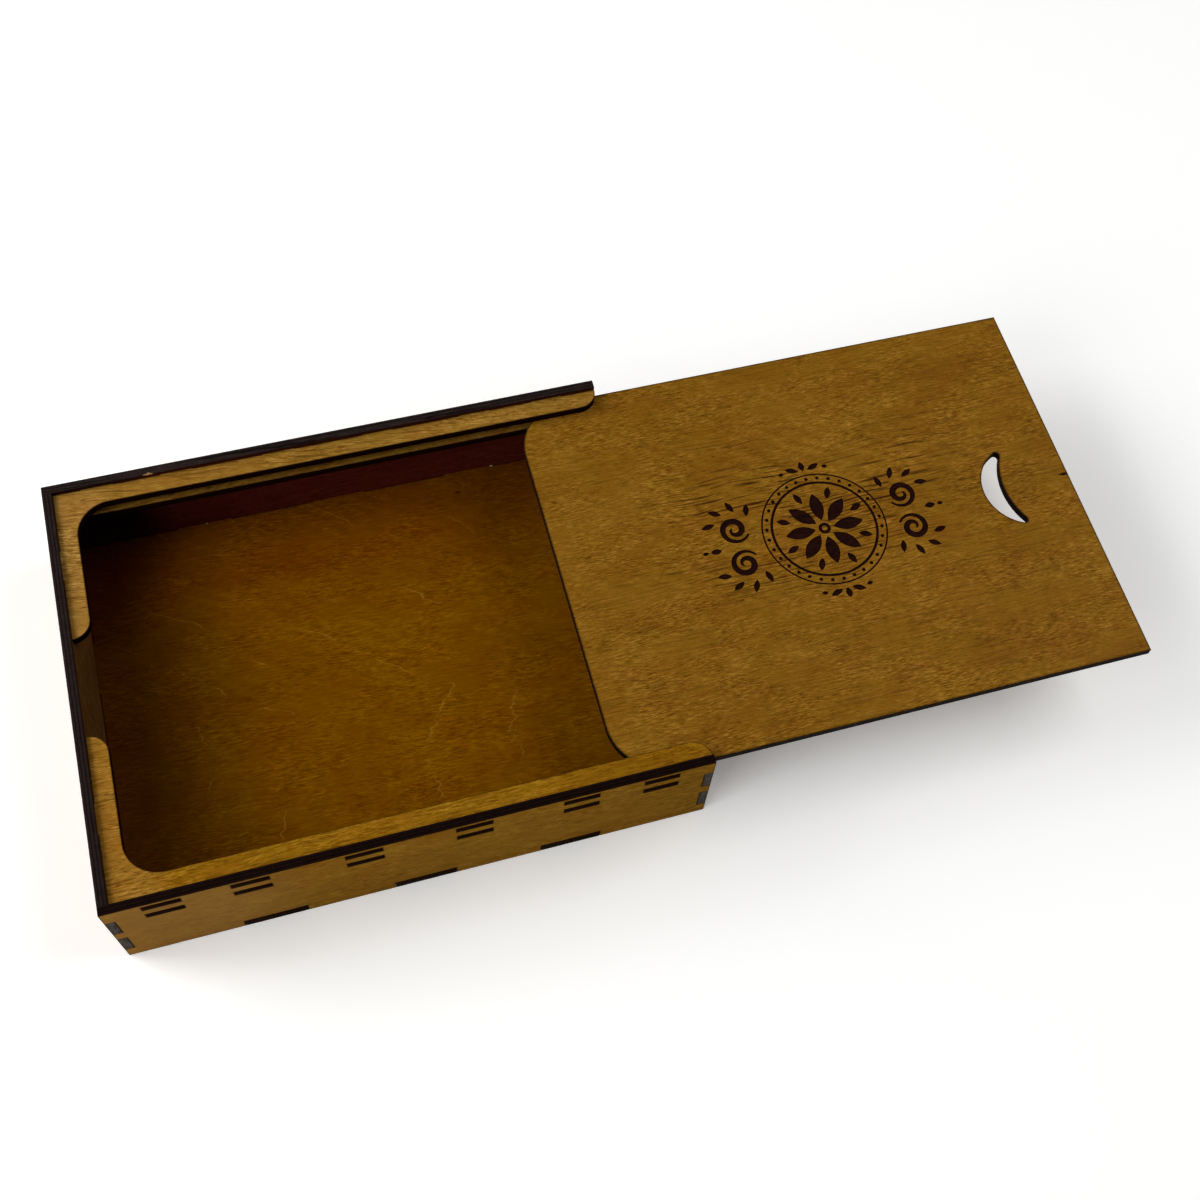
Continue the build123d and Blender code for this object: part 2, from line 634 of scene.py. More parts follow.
@dataclass(frozen=True)
class BirchStain:
    """A stained birch sheet: its wood tones, figure and gloss."""

    name: str
    deep: Colour
    body: Colour
    bright: Colour
    flecks: float
    lines: float
    line_spacing: float
    figure: float
    sheen: float
    roughness: float
    char_deep: Colour
    char_pale: Colour
    ash: Colour = tint(22, 11, 7)
    ticks: float = 0.45
    warmth: float = 0.5
    warm_glaze: Colour = (0.94, 0.78, 0.8, 1.0)
    tick_glaze: Colour = (1.75, 1.75, 3.0, 1.0)
    fleck_colour: Colour = tint(46, 22, 6)
    line_colour: Colour = tint(178, 128, 44)
    rim_colour: Colour = tint(26, 13, 5)
    glue_colour: Colour = tint(6, 4, 3)
    rim_strength: float = 0.9
    glue_strength: float = 0.7
    fleck_roughness: float = 0.14
    tone_gloss: float = 0.10
    char_roughness: float = 0.2
    pore_depth: float = 0.035
    flame_core: float = 0.35
    flame_edge: float = 1.25
    calm_share: float = 0.3

    def material(self, piece: str, groups: SharedGroups, lay: Lay, shift: Triple, slant: float,
                 spots: tuple[Spot, ...], flame: Spot | None) -> bpy.types.Material:
        """Make the material of one sheet.

        Args:
            piece: Name of the sheet.
            groups: The shared groups.
            lay: How the sheet stands.
            shift: Where in the veneer the sheet was cut, in millimetres.
            slant: Angle of the grain to the sheet's length, in degrees.
            spots: Its marked places, in the order in which they are laid on.
            flame: Where its figure is strongest, or nothing if it's the same all over.

        Returns:
            The material.
        """
        made = bpy.data.materials.new(f"{self.name}_{piece}")
        bench = cleared(made)
        where = bench.node("ShaderNodeTexCoord").outputs
        scaled = bench.scaled(where["Object"], 1 / MM)
        turn = (Matrix.Rotation(math.radians(-slant), 3, "Z") @ lay.turn).to_euler()
        place = bench.node("ShaderNodeMapping", vector_type="POINT")
        facing = bench.node("ShaderNodeMapping", vector_type="VECTOR")
        for mapping, source in ((place, scaled), (facing, where["Normal"])):
            bench.feed(mapping.inputs["Vector"], source)
            mapping.inputs["Rotation"].default_value = turn
        place.inputs["Location"].default_value = shift
        place = place.outputs[0]
        endways, _sideways, outward = bench.split(facing.outputs[0])
        nearness, depth = (bench.node("ShaderNodeAttribute", attribute_name=name).outputs["Fac"]
                           for name in (SCORCH, DEPTH))
        figure: object = self.figure
        if flame:
            away = bench.vector("SUBTRACT", scaled, flame.centre)
            away = bench.vector("DIVIDE", away, flame.size)
            figure = bench.fade(bench.vector("LENGTH", away), self.flame_core, self.flame_edge,
                                self.figure, self.calm_share * self.figure)
        grain = bench.use(groups.grain, Place=place, Line_Spacing=self.line_spacing, Figure=figure)
        cut = bench.use(groups.cut, Place=place, Depth=depth, Endways=endways)
        rim = bench.use(groups.rim, Place=place, Nearness=nearness, Facing=outward)

        wood = self.wood(bench, grain.outputs)
        for spot in spots:
            mark = bench.use(groups.spot, Place=scaled, Centre=spot.centre, Size=spot.size,
                             Ragged=spot.ragged)
            wood = bench.mix(bench.times(mark.outputs["Spot"], spot.strength), wood, spot.colour,
                             spot.laid)
        wood = bench.mix(bench.times(rim.outputs["Rim"], self.rim_strength), wood, self.rim_colour)
        burnt = rim.outputs["Cut"]
        bare = bench.total((grain.outputs["Flecks"], self.fleck_roughness),
                           (grain.outputs["Tone"], -self.tone_gloss), (1.0, self.roughness))
        more = bench.minus(cut.outputs["Relief"], grain.outputs["Relief"])
        bench.surface(
            bench.mix(burnt, wood, self.char(bench, cut.outputs)),
            bench.math("MULTIPLY_ADD", burnt, self.char_roughness, bare),
            bench.math("MULTIPLY_ADD", more, burnt, grain.outputs["Relief"]),
            self.pore_depth, self.sheen)
        return made

    def wood(self, bench: Bench, grain: bpy.types.NodeOutputs) -> Socket:
        """Colour the bare wood.

        Args:
            bench: The material's bench.
            grain: What the grain's group puts out.

        Returns:
            The wood's colour.
        """
        low = bench.mix(bench.fade(grain["Tone"], 0.0, 0.5), self.deep, self.body)
        wood = bench.mix(bench.fade(grain["Tone"], 0.5, 1.0), low, self.bright)
        for mark, strength, colour, laid in (
            ("Warmth", self.warmth, self.warm_glaze, Laid.GLAZE),
            ("Ticks", self.ticks, self.tick_glaze, Laid.GLAZE),
            ("Flecks", self.flecks, self.fleck_colour, Laid.OVER),
            ("Lines", self.lines, self.line_colour, Laid.OVER),
        ):
            share = bench.math("MULTIPLY", grain[mark], strength, clamp=True)
            wood = bench.mix(share, wood, colour, laid)
        return wood

    def char(self, bench: Bench, cut: bpy.types.NodeOutputs) -> Socket:
        """Colour the burnt cuts.

        Args:
            bench: The material's bench.
            cut: What the char's group puts out.

        Returns:
            The char's colour.
        """
        char = bench.mix(cut["Tone"], self.char_deep, self.char_pale)
        char = bench.mix(bench.times(cut["Glue"], self.glue_strength), char, self.glue_colour)
        return bench.mix(cut["Ash"], char, self.ash)


@dataclass(frozen=True)
class Scratched:
    """A small worked spot, such as a carved stroke, a chip or a bead of glue."""

    name: str
    dark: Colour
    light: Colour
    grain_size: Triple
    sheen: float
    roughness: float
    relief: float

    def material(self) -> bpy.types.Material:
        """Make the material of the spot.

        Returns:
            The material.
        """
        made = bpy.data.materials.new(self.name)
        bench = cleared(made)
        place = bench.scaled(bench.node("ShaderNodeTexCoord").outputs["Object"], 1 / MM)
        patch = bench.noise(place, Noise(self.grain_size, 3, 0.6))
        bench.surface(bench.mix(bench.fade(patch, 0.3, 0.7), self.dark, self.light),
                      bench.math("MULTIPLY_ADD", patch, 0.2, self.roughness), patch, self.relief,
                      self.sheen)
        return made


# The rails' stain carries some painted sheen in its blue. The front rails' copy is darker and less
# blue: partly veneer that differs between pieces, partly painted shade.
RAIL_STAIN = BirchStain(
    "rail_stain", deep=tint(108, 72, 20), body=tint(143, 104, 36), bright=tint(174, 134, 58),
    flecks=1.25, lines=0.05, line_spacing=26.0, figure=0.35, sheen=0.002, roughness=0.5,
    char_deep=tint(8, 3, 1), char_pale=tint(42, 19, 9))
SHADED_FRONT_RAIL_STAIN = replace(
    RAIL_STAIN, name="shaded_front_rail_stain", deep=tint(107, 69, 7), body=tint(138, 96, 15),
    bright=tint(165, 119, 29), flecks=0.9)
WALL_STAIN = BirchStain(
    "wall_stain", deep=tint(114, 76, 23), body=tint(145, 102, 34), bright=tint(173, 128, 50),
    flecks=0.5, lines=0.06, line_spacing=30.0, figure=0.4, sheen=0.002, roughness=0.5,
    char_deep=tint(10, 7, 7), char_pale=tint(56, 45, 43), ash=tint(92, 86, 78))
FRONT_WALL_STAIN = replace(
    WALL_STAIN, name="front_wall_stain", deep=tint(114, 76, 16), body=tint(145, 102, 23),
    bright=tint(173, 127, 36), char_deep=tint(5, 3, 2), char_pale=tint(37, 22, 19))
FLOOR_STAIN = BirchStain(
    "floor_stain", deep=tint(93, 53, 0), body=tint(112, 69, 1), bright=tint(131, 86, 4),
    flecks=0.3, lines=0.27, line_spacing=28.0, figure=0.5, sheen=0.004, roughness=0.5,
    char_deep=tint(14, 7, 3), char_pale=tint(50, 30, 12), ticks=0.5, warmth=0.55)
LID_STAIN = BirchStain(
    "lid_stain", deep=tint(97, 60, 9), body=tint(129, 89, 19), bright=tint(159, 115, 37),
    flecks=0.9, lines=0.12, line_spacing=34.0, figure=1.0, sheen=0.02, roughness=0.48,
    char_deep=tint(4, 2, 1), char_pale=tint(26, 16, 13), ash=tint(18, 11, 8))
CARVED = Scratched("carved_char", dark=tint(14, 3, 2), light=tint(42, 16, 9),
                   grain_size=(2.4, 0.3, 1.0), sheen=0.04, roughness=0.7, relief=0.04)
BARE = Scratched("bare_birch", dark=tint(120, 80, 42), light=tint(186, 144, 98),
                 grain_size=(1.2, 0.2, 0.3), sheen=0.1, roughness=0.6, relief=0.05)
GLUE = Scratched("dried_glue", dark=tint(150, 140, 118), light=tint(214, 208, 190),
                 grain_size=(0.6, 0.6, 0.6), sheen=0.4, roughness=0.3, relief=0.02)


def sizes_of(what: object) -> dict[str, float | int | Triple]:
    """Each size field of a dataclass, by the name that it has in a tree."""
    return {field.name.replace("_", " ").title(): getattr(what, field.name)
            for field in fields(what)}


class Pattern(Bench):
    """A geometry node tree that repeats small shapes by rule, worked in millimetres."""

    KINDS = {float: "NodeSocketFloat", int: "NodeSocketInt", tuple: "NodeSocketVector"}

    def __init__(self, name: str, sizes: dict[str, float | int | Triple]) -> None:
        """Make an empty tree.

        Args:
            name: Name of the tree.
            sizes: Each input's value by its name.
        """
        super().__init__(bpy.data.node_groups.new(name, "GeometryNodeTree"))
        self.sizes = sizes
        self.sockets = {
            label: self.tree.interface.new_socket(name=label, in_out="INPUT",
                                                  socket_type=self.KINDS[type(value)]).identifier
            for label, value in sizes.items()
        }
        self.tree.interface.new_socket(name="Geometry", in_out="OUTPUT",
                                       socket_type="NodeSocketGeometry")
        self.given = self.node("NodeGroupInput").outputs

    def shape(self, kind: str, settings: dict[str, object] | None = None,
              **values: object) -> Socket:
        """Add a geometry node.

        Args:
            kind: The kind of node, without its prefix.
            settings: Properties of the node.
            **values: Values by input name, with _ for a space.

        Returns:
            The node's first output.
        """
        made = self.node(f"GeometryNode{kind}", **(settings or {}))
        for name, value in values.items():
            self.feed(made.inputs[name.replace("_", " ")], value)
        return made.outputs[0]

    def join(self, *parts: object) -> Socket:
        """Put several geometries together.

        Args:
            *parts: The geometries.

        Returns:
            All of them as one.
        """
        made = self.node("GeometryNodeJoinGeometry")
        # The socket takes many links, and the last one made comes first.
        for part in reversed(parts):
            self.tree.links.new(part, made.inputs[0])
        return made.outputs[0]

    def leaf(self, length: object, width: object) -> Socket:
        """Draw a flat leaf with two pointed ends, lying along X.

        Args:
            length: From tip to tip.
            width: At the middle.

        Returns:
            The flat leaf.
        """
        ring = self.shape("CurvePrimitiveCircle", {"mode": "RADIUS"}, Resolution=28, Radius=1.0)
        angle = self.times(self.shape("SplineParameter"), math.tau)
        sine = self.math("SINE", angle)
        bulge = self.times(sine, self.unsigned(sine))
        place = self.gather(
            self.times(self.math("COSINE", angle), self.times(length, 0.5)),
            self.times(bulge, self.times(width, 0.5)),
            0.0,
        )
        bent = self.shape("SetPosition", Geometry=ring, Position=place)
        return self.shape("FillCurve", {"mode": "NGONS"}, Curve=bent)

    def band(self, radius: object, width: object) -> Socket:
        """Draw a flat ring round the origin.

        Args:
            radius: Of its outer edge.
            width: From its inner to its outer edge.

        Returns:
            The flat ring.
        """
        inner_radius = self.minus(radius, width)
        outer = self.shape("CurvePrimitiveCircle", {"mode": "RADIUS"}, Resolution=96, Radius=radius)
        inner = self.shape("CurvePrimitiveCircle", {"mode": "RADIUS"}, Resolution=96,
                           Radius=inner_radius)
        return self.shape("FillCurve", {"mode": "TRIANGLES"}, Curve=self.join(outer, inner))

    def round_about(self, what: object, count: object, radius: object,
                    start: float = 0.0) -> Socket:
        """Repeat a shape round the origin, each copy pointing outwards.

        Args:
            what: The shape, lying along X.
            count: How many copies.
            radius: How far out they are.
            start: Angle of the first copy, as a share of the step between two.

        Returns:
            The copies, still instances.
        """
        points = self.shape("MeshCircle", {"fill_type": "NONE"}, Vertices=count, Radius=radius)
        step = self.math("DIVIDE", math.tau, count)
        angle = self.times(self.math("ADD", self.shape("InputIndex"), start), step)
        place = self.gather(self.times(self.math("COSINE", angle), radius),
                            self.times(self.math("SINE", angle), radius), 0.0)
        points = self.shape("SetPosition", Geometry=points, Position=place)
        return self.shape("InstanceOnPoints", Points=points, Instance=what,
                          Rotation=self.gather(0.0, 0.0, angle))

    def scroll(self, radius: object, width: object, turns: object) -> Socket:
        """Draw a flat scroll that winds in towards the origin and tapers at both ends.

        Args:
            radius: Where it starts.
            width: Its greatest width.
            turns: How often it winds round.

        Returns:
            The flat scroll.
        """
        core = 0.16
        strip = self.shape("MeshGrid", Size_X=1.0, Size_Y=1.0, Vertices_X=72, Vertices_Y=2)
        along, side, _height = self.split(self.shape("InputPosition"))
        run = self.math("ADD", along, 0.5)
        fade = self.math("SINE", self.math("MULTIPLY_ADD", run, 0.84 * math.pi, 0.1 * math.pi))
        half = self.times(self.times(side, width), fade)
        left = self.math("POWER", self.minus(1.0, run), 0.9)
        arm = self.math("MULTIPLY_ADD", self.times(radius, 1 - core), left,
                        self.math("MULTIPLY_ADD", radius, core, half))
        angle = self.times(self.times(run, turns), math.tau)
        place = self.gather(self.times(self.math("COSINE", angle), arm),
                            self.times(self.math("SINE", angle), arm), 0.0)
        return self.shape("SetPosition", Geometry=strip, Position=place)

    def moved(self, what: object, place: object = (0.0, 0.0, 0.0), turn: float = 0.0,
              scale: Triple = (1.0, 1.0, 1.0)) -> Socket:
        """Move, turn about Z and scale a geometry."""
        return self.shape("Transform", Geometry=what, Translation=place, Rotation=(0.0, 0.0, turn),
                          Scale=scale)

    def finish(self, geometry: object, material: bpy.types.Material) -> None:
        """End the tree in plain mesh with its material.

        Args:
            geometry: What the tree has made.
            material: Its material.
        """
        solid = self.shape("RealizeInstances", Geometry=geometry)
        dressed = self.shape("SetMaterial", Geometry=solid, Material=material)
        self.feed(self.node("NodeGroupOutput").inputs[0], dressed)

    def made(self, name: str) -> bpy.types.Object:
        """Run the tree and keep its result as a plain piece.

        Args:
            name: Name of the piece.

        Returns:
            The piece.
        """
        piece = linked(name, bpy.data.meshes.new(name))
        rule = piece.modifiers.new("rule", "NODES")
        rule.node_group = self.tree
        for label, value in self.sizes.items():
            rule[self.sockets[label]] = value
        plain_mesh(piece)
        return piece


def plain_mesh(piece: bpy.types.Object) -> None:
    """Turn what the modifiers of a piece make into its own mesh, and take the modifiers off.

    Args:
        piece: The piece.
    """
    graph = bpy.context.evaluated_depsgraph_get()
    finished = bpy.data.meshes.new_from_object(piece.evaluated_get(graph))
    piece.modifiers.clear()
    old = piece.data
    piece.data = finished
    finished.name = piece.name
    bpy.data.meshes.remove(old)


def linked(name: str, data: bpy.types.ID) -> bpy.types.Object:
    """Put a mesh, a lamp or a camera into the scene as an object at the origin.

    Args:
        name: Name of the object.
        data: What it holds.

    Returns:
        The object.
    """
    made = bpy.data.objects.new(name, data)
    bpy.context.scene.collection.objects.link(made)
    return made


def mesh_of(shape: bmesh.types.BMesh, name: str) -> bpy.types.Mesh:
    """Keep an edited shape as a mesh.

    Args:
        shape: The shape, which is freed.
        name: Name of the mesh.

    Returns:
        The mesh.
    """
    mesh = bpy.data.meshes.new(name)
    shape.to_mesh(mesh)
    shape.free()
    return mesh


@dataclass
class Sheet:
    """One flat sheet of the box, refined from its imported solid.

    A split is an axis and a place on it, in millimetres, where a plane divides the sheet's faces.
    """

    node: str
    body: Body
    slot: Slot
    lay: Lay
    stain: BirchStain
    shift: Triple
    spots: tuple[Spot, ...] = ()
    flame: Spot | None = None
    splits: tuple[tuple[int, float], ...] = ()
    slant: float = 0.0
    arris: float = 0.14
    arris_angle: float = 35.0
    rim_width: float = 1.2
    merge_distance: float = 0.002
    flat_angle: float = 0.5

    def build(self, groups: SharedGroups) -> bpy.types.Object:
        """Make the sheet with its rim, arrises and material.

        Args:
            groups: The shared shader groups.

        Returns:
            The sheet, not yet riding on its body.
        """
        shape = bmesh.new()
        shape.from_mesh(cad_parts[self.node].data)
        bmesh.ops.remove_doubles(shape, verts=shape.verts, dist=self.merge_distance * MM)
        bmesh.ops.dissolve_limit(shape, angle_limit=math.radians(self.flat_angle),
                                 verts=shape.verts, edges=shape.edges)
        self.mark_rim(shape)
        for axis, at in self.splits:
            normal = Vector((axis == 0, axis == 1, axis == 2))
            bmesh.ops.bisect_plane(shape, geom=[*shape.verts, *shape.edges, *shape.faces],
                                   dist=1e-7, plane_co=normal * at * MM, plane_no=normal)
        piece = linked(f"{self.node}_sheet", mesh_of(shape, self.node))
        piece.data.materials.append(
            self.stain.material(self.node, groups, self.lay, self.shift, self.slant, self.spots,
                                self.flame))
        for face in piece.data.polygons:
            face.use_smooth = True
        arris = piece.modifiers.new("arris", "BEVEL")
        arris.width = self.arris * MM
        arris.segments = 2
        arris.limit_method = "ANGLE"
        arris.angle_limit = math.radians(self.arris_angle)
        arris.harden_normals = True
        plain_mesh(piece)
        return piece

    def mark_rim(self, shape: bmesh.types.BMesh) -> None:
        """Set a narrow band apart round every outline of the two broad faces.

        Args:
            shape: The sheet's mesh, which gets its marks as vertex attributes.
        """
        axis = self.lay.thickness_axis
        near = shape.verts.layers.float.new(SCORCH)
        depth = shape.verts.layers.float.new(DEPTH)
        heights = [vert.co[axis] for vert in shape.verts]
        middle, half = (max(heights) + min(heights)) / 2, (max(heights) - min(heights)) / 2
        broad = [face for face in shape.faces if abs(face.normal[axis]) > 0.99]
        for vert in shape.verts:
            vert[near] = 1.0
        bmesh.ops.inset_region(shape, faces=broad, thickness=self.rim_width * MM,
                               use_even_offset=True, use_boundary=True)
        for vert in {vert for face in broad for vert in face.verts}:
            vert[near] = 0.0
        for vert in shape.verts:
            vert[depth] = (vert.co[axis] - middle) / half

    def place(self, piece: bpy.types.Object) -> None:
        """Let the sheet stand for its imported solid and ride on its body.

        Args:
            piece: The finished sheet.
        """
        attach(piece, self.body.value)
        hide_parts(self.node)
        report(piece)


def report(piece: bpy.types.Object) -> None:
    """Log a finished piece."""
    log.info("%s: %d faces", piece.name, len(piece.data.polygons))


def carve(piece: bpy.types.Object, tool: bpy.types.Object) -> None:
    """Cut the shape of a tool out of a piece, and remove the tool.

    Args:
        piece: What is carved. It gets the tool's material where the tool has cut.
        tool: A closed mesh.
    """
    cut = piece.modifiers.new("cut", "BOOLEAN")
    cut.operation = "DIFFERENCE"
    cut.solver = "EXACT"
    cut.material_mode = "TRANSFER"
    cut.object = tool
    flat = piece.modifiers.new("flat", "WEIGHTED_NORMAL")
    flat.keep_sharp = True
    flat.weight = 100
    plain_mesh(piece)
    old = tool.data
    bpy.data.objects.remove(tool)
    bpy.data.meshes.remove(old)


@dataclass
class Carcass:
    """The floor and the four walls."""

    wall_rim: float = 0.75
    chip_place: Triple = (-63.5, 76.1, 45.0)
    chip_size: Triple = (3.6, 1.3, 0.9)

    def sheets(self) -> list[Sheet]:
        """Say how each sheet is cut from the veneer and stained, and where shade and light are
        painted on it.

        Returns:
            The five sheets.
        """
        wall = {"body": Body.BOX, "slot": Slot.WALL, "rim_width": self.wall_rim}
        dark = tint(40, 22, 8)
        # Painted shade: the walls' inner faces and the back-left inner corner are glazed darker
        # where shade falls inside the box.
        back_inner_painted_shade = painted_light_or_shade((0.0, 76.05, 22.5), (600.0, 1.6, 120.0), (0.35, 0.115, 0.5))
        back_corner_painted_shade = painted_light_or_shade((-97.0, 76.05, 20.0), (38.0, 1.6, 60.0), (0.22, 0.3, 0.6))
        front_inner_painted_shade = replace(back_inner_painted_shade, centre=(0.0, -76.05, 22.5))
        closed_inner_painted_shade = painted_light_or_shade((-96.8, 0.0, 22.5), (1.6, 600.0, 120.0), (0.37, 0.34, 0.6))
        open_inner_painted_shade = painted_light_or_shade((96.8, 0.0, 18.0), (1.6, 600.0, 120.0), (0.61, 0.46, 0.6))
        # Painted shadow: the floor is glazed darker beside the closed end wall, in the back-left
        # corner and along the back wall, where the walls shade it.
        floor_painted_shadow = (
            painted_light_or_shade((-115.0, 0.0, 5.0), (55.0, 2000.0, 40.0), (0.58, 0.5, 0.8)),
            painted_light_or_shade((-100.0, 0.0, 5.0), (22.0, 2000.0, 40.0), (0.82, 0.7, 0.8)),
            painted_light_or_shade((-110.0, 90.0, 5.0), (60.0, 75.0, 40.0), (0.44, 0.33, 0.8)),
            painted_light_or_shade((0.0, 100.0, 5.0), (1000.0, 75.0, 40.0), (1.0, 0.82, 1.0)),
        )
        # Partly scorch and partly painted shade: a dark band along the top of the back and closed
        # end walls' inner faces, in the recess above the rails.
        back_recess_scorch_and_shade = Spot((0.0, 76.05, 45.0), (400.0, 1.5, 3.2), dark, 0.7, 0.2)
        end_recess_scorch_and_shade = Spot((-96.8, 0.0, 45.0), (1.5, 400.0, 3.2), dark, 0.7, 0.2)
        # Painted light: the front wall's outer face is paler towards its left end, nearer the
        # lamps.
        front_end_painted_light = Spot((-100.0, -79.25, 22.0), (70.0, 3.0, 80.0), tint(172, 128, 72), 0.35, 0.0)
        return [
            Sheet("floor_panel", Body.BOX, Slot.FLOOR, Lay.LEVEL, FLOOR_STAIN, (0.0, 11.0, 3.0),
                  (Spot((44.5, 67.2, 5.0), (1.5, 0.7, 1.0), tint(66, 16, 6), 0.75), *floor_painted_shadow),
                  slant=-3.5),
            Sheet("front_wall", stain=FRONT_WALL_STAIN, lay=Lay.ALONG, shift=(240.0, 32.0, 40.0),
                  spots=(front_inner_painted_shade, front_end_painted_light), **wall),
            Sheet("back_wall", stain=WALL_STAIN, lay=Lay.ALONG, shift=(-310.0, 71.0, 95.0),
                  spots=(back_inner_painted_shade, back_corner_painted_shade, back_recess_scorch_and_shade), **wall),
            Sheet("closed_end_wall", stain=WALL_STAIN, lay=Lay.ACROSS, shift=(150.0, -66.0, 20.0),
                  spots=(closed_inner_painted_shade, end_recess_scorch_and_shade), **wall),
            Sheet("open_end_wall", stain=WALL_STAIN, lay=Lay.ACROSS, shift=(-190.0, 83.0, 60.0),
                  spots=(open_inner_painted_shade,), **wall),
        ]

    def build(self, groups: SharedGroups) -> None:
        """Build the five sheets and chip the back wall.

        Args:
            groups: The shared shader groups.
        """
        for sheet in self.sheets():
            piece = sheet.build(groups)
            if sheet.node == "back_wall":
                carve(piece, self.chip())
            sheet.place(piece)

    def chip(self) -> bpy.types.Object:
        """Shape a tool for the small chip on the back wall's top edge.

        Returns:
            A closed splinter.
        """
        shape = bmesh.new()
        bmesh.ops.create_icosphere(shape, subdivisions=2, radius=0.5)
        size, place = Vector(self.chip_size), Vector(self.chip_place)
        for vert in shape.verts:
            ragged = 1 + 0.22 * math.sin(9 * vert.co.x + 5 * vert.co.y) * math.cos(7 * vert.co.z)
            vert.co = (place + Vector(c * s for c, s in zip(vert.co, size)) * ragged) * MM
        mesh = mesh_of(shape, "chip")
        mesh.materials.append(BARE.material())
        return linked("chip", mesh)


@dataclass
class LidGuides:
    """The four rails that hold the lid between them."""

    rim_width: float = 0.7

    def build(self, groups: SharedGroups) -> None:
        """Build the two bent upper rails and the two straight lower ones.

        Args:
            groups: The shared shader groups.
        """
        rail = {"body": Body.BOX, "slot": Slot.RAIL, "lay": Lay.LEVEL, "rim_width": self.rim_width}
        for node, stain, blue, slant, shift in (
            ("front_upper_rail", SHADED_FRONT_RAIL_STAIN, 3.2, 0.0, (260.0, 120.0, 12.0)),
            ("back_upper_rail", RAIL_STAIN, 1.7, -8.0, (-330.0, 20.0, 33.0)),
            ("front_lower_rail", SHADED_FRONT_RAIL_STAIN, 3.2, 0.0, (90.0, 210.0, 51.0)),
            ("back_lower_rail", RAIL_STAIN, 1.7, 0.0, (410.0, -160.0, 77.0)),
        ):
            # Painted light and sheen: each rail is paler at its left end, nearest the window lamps;
            # the blue column sets how much blue the painted sheen adds.
            rail_end_painted_light = painted_light_or_shade((-99.0, 0.0, 43.3), (24.0, 400.0, 20.0), (1.2, 1.24, blue))
            sheet = Sheet(node, stain=stain, shift=shift, slant=slant, spots=(rail_end_painted_light,), **rail)
            sheet.place(sheet.build(groups))


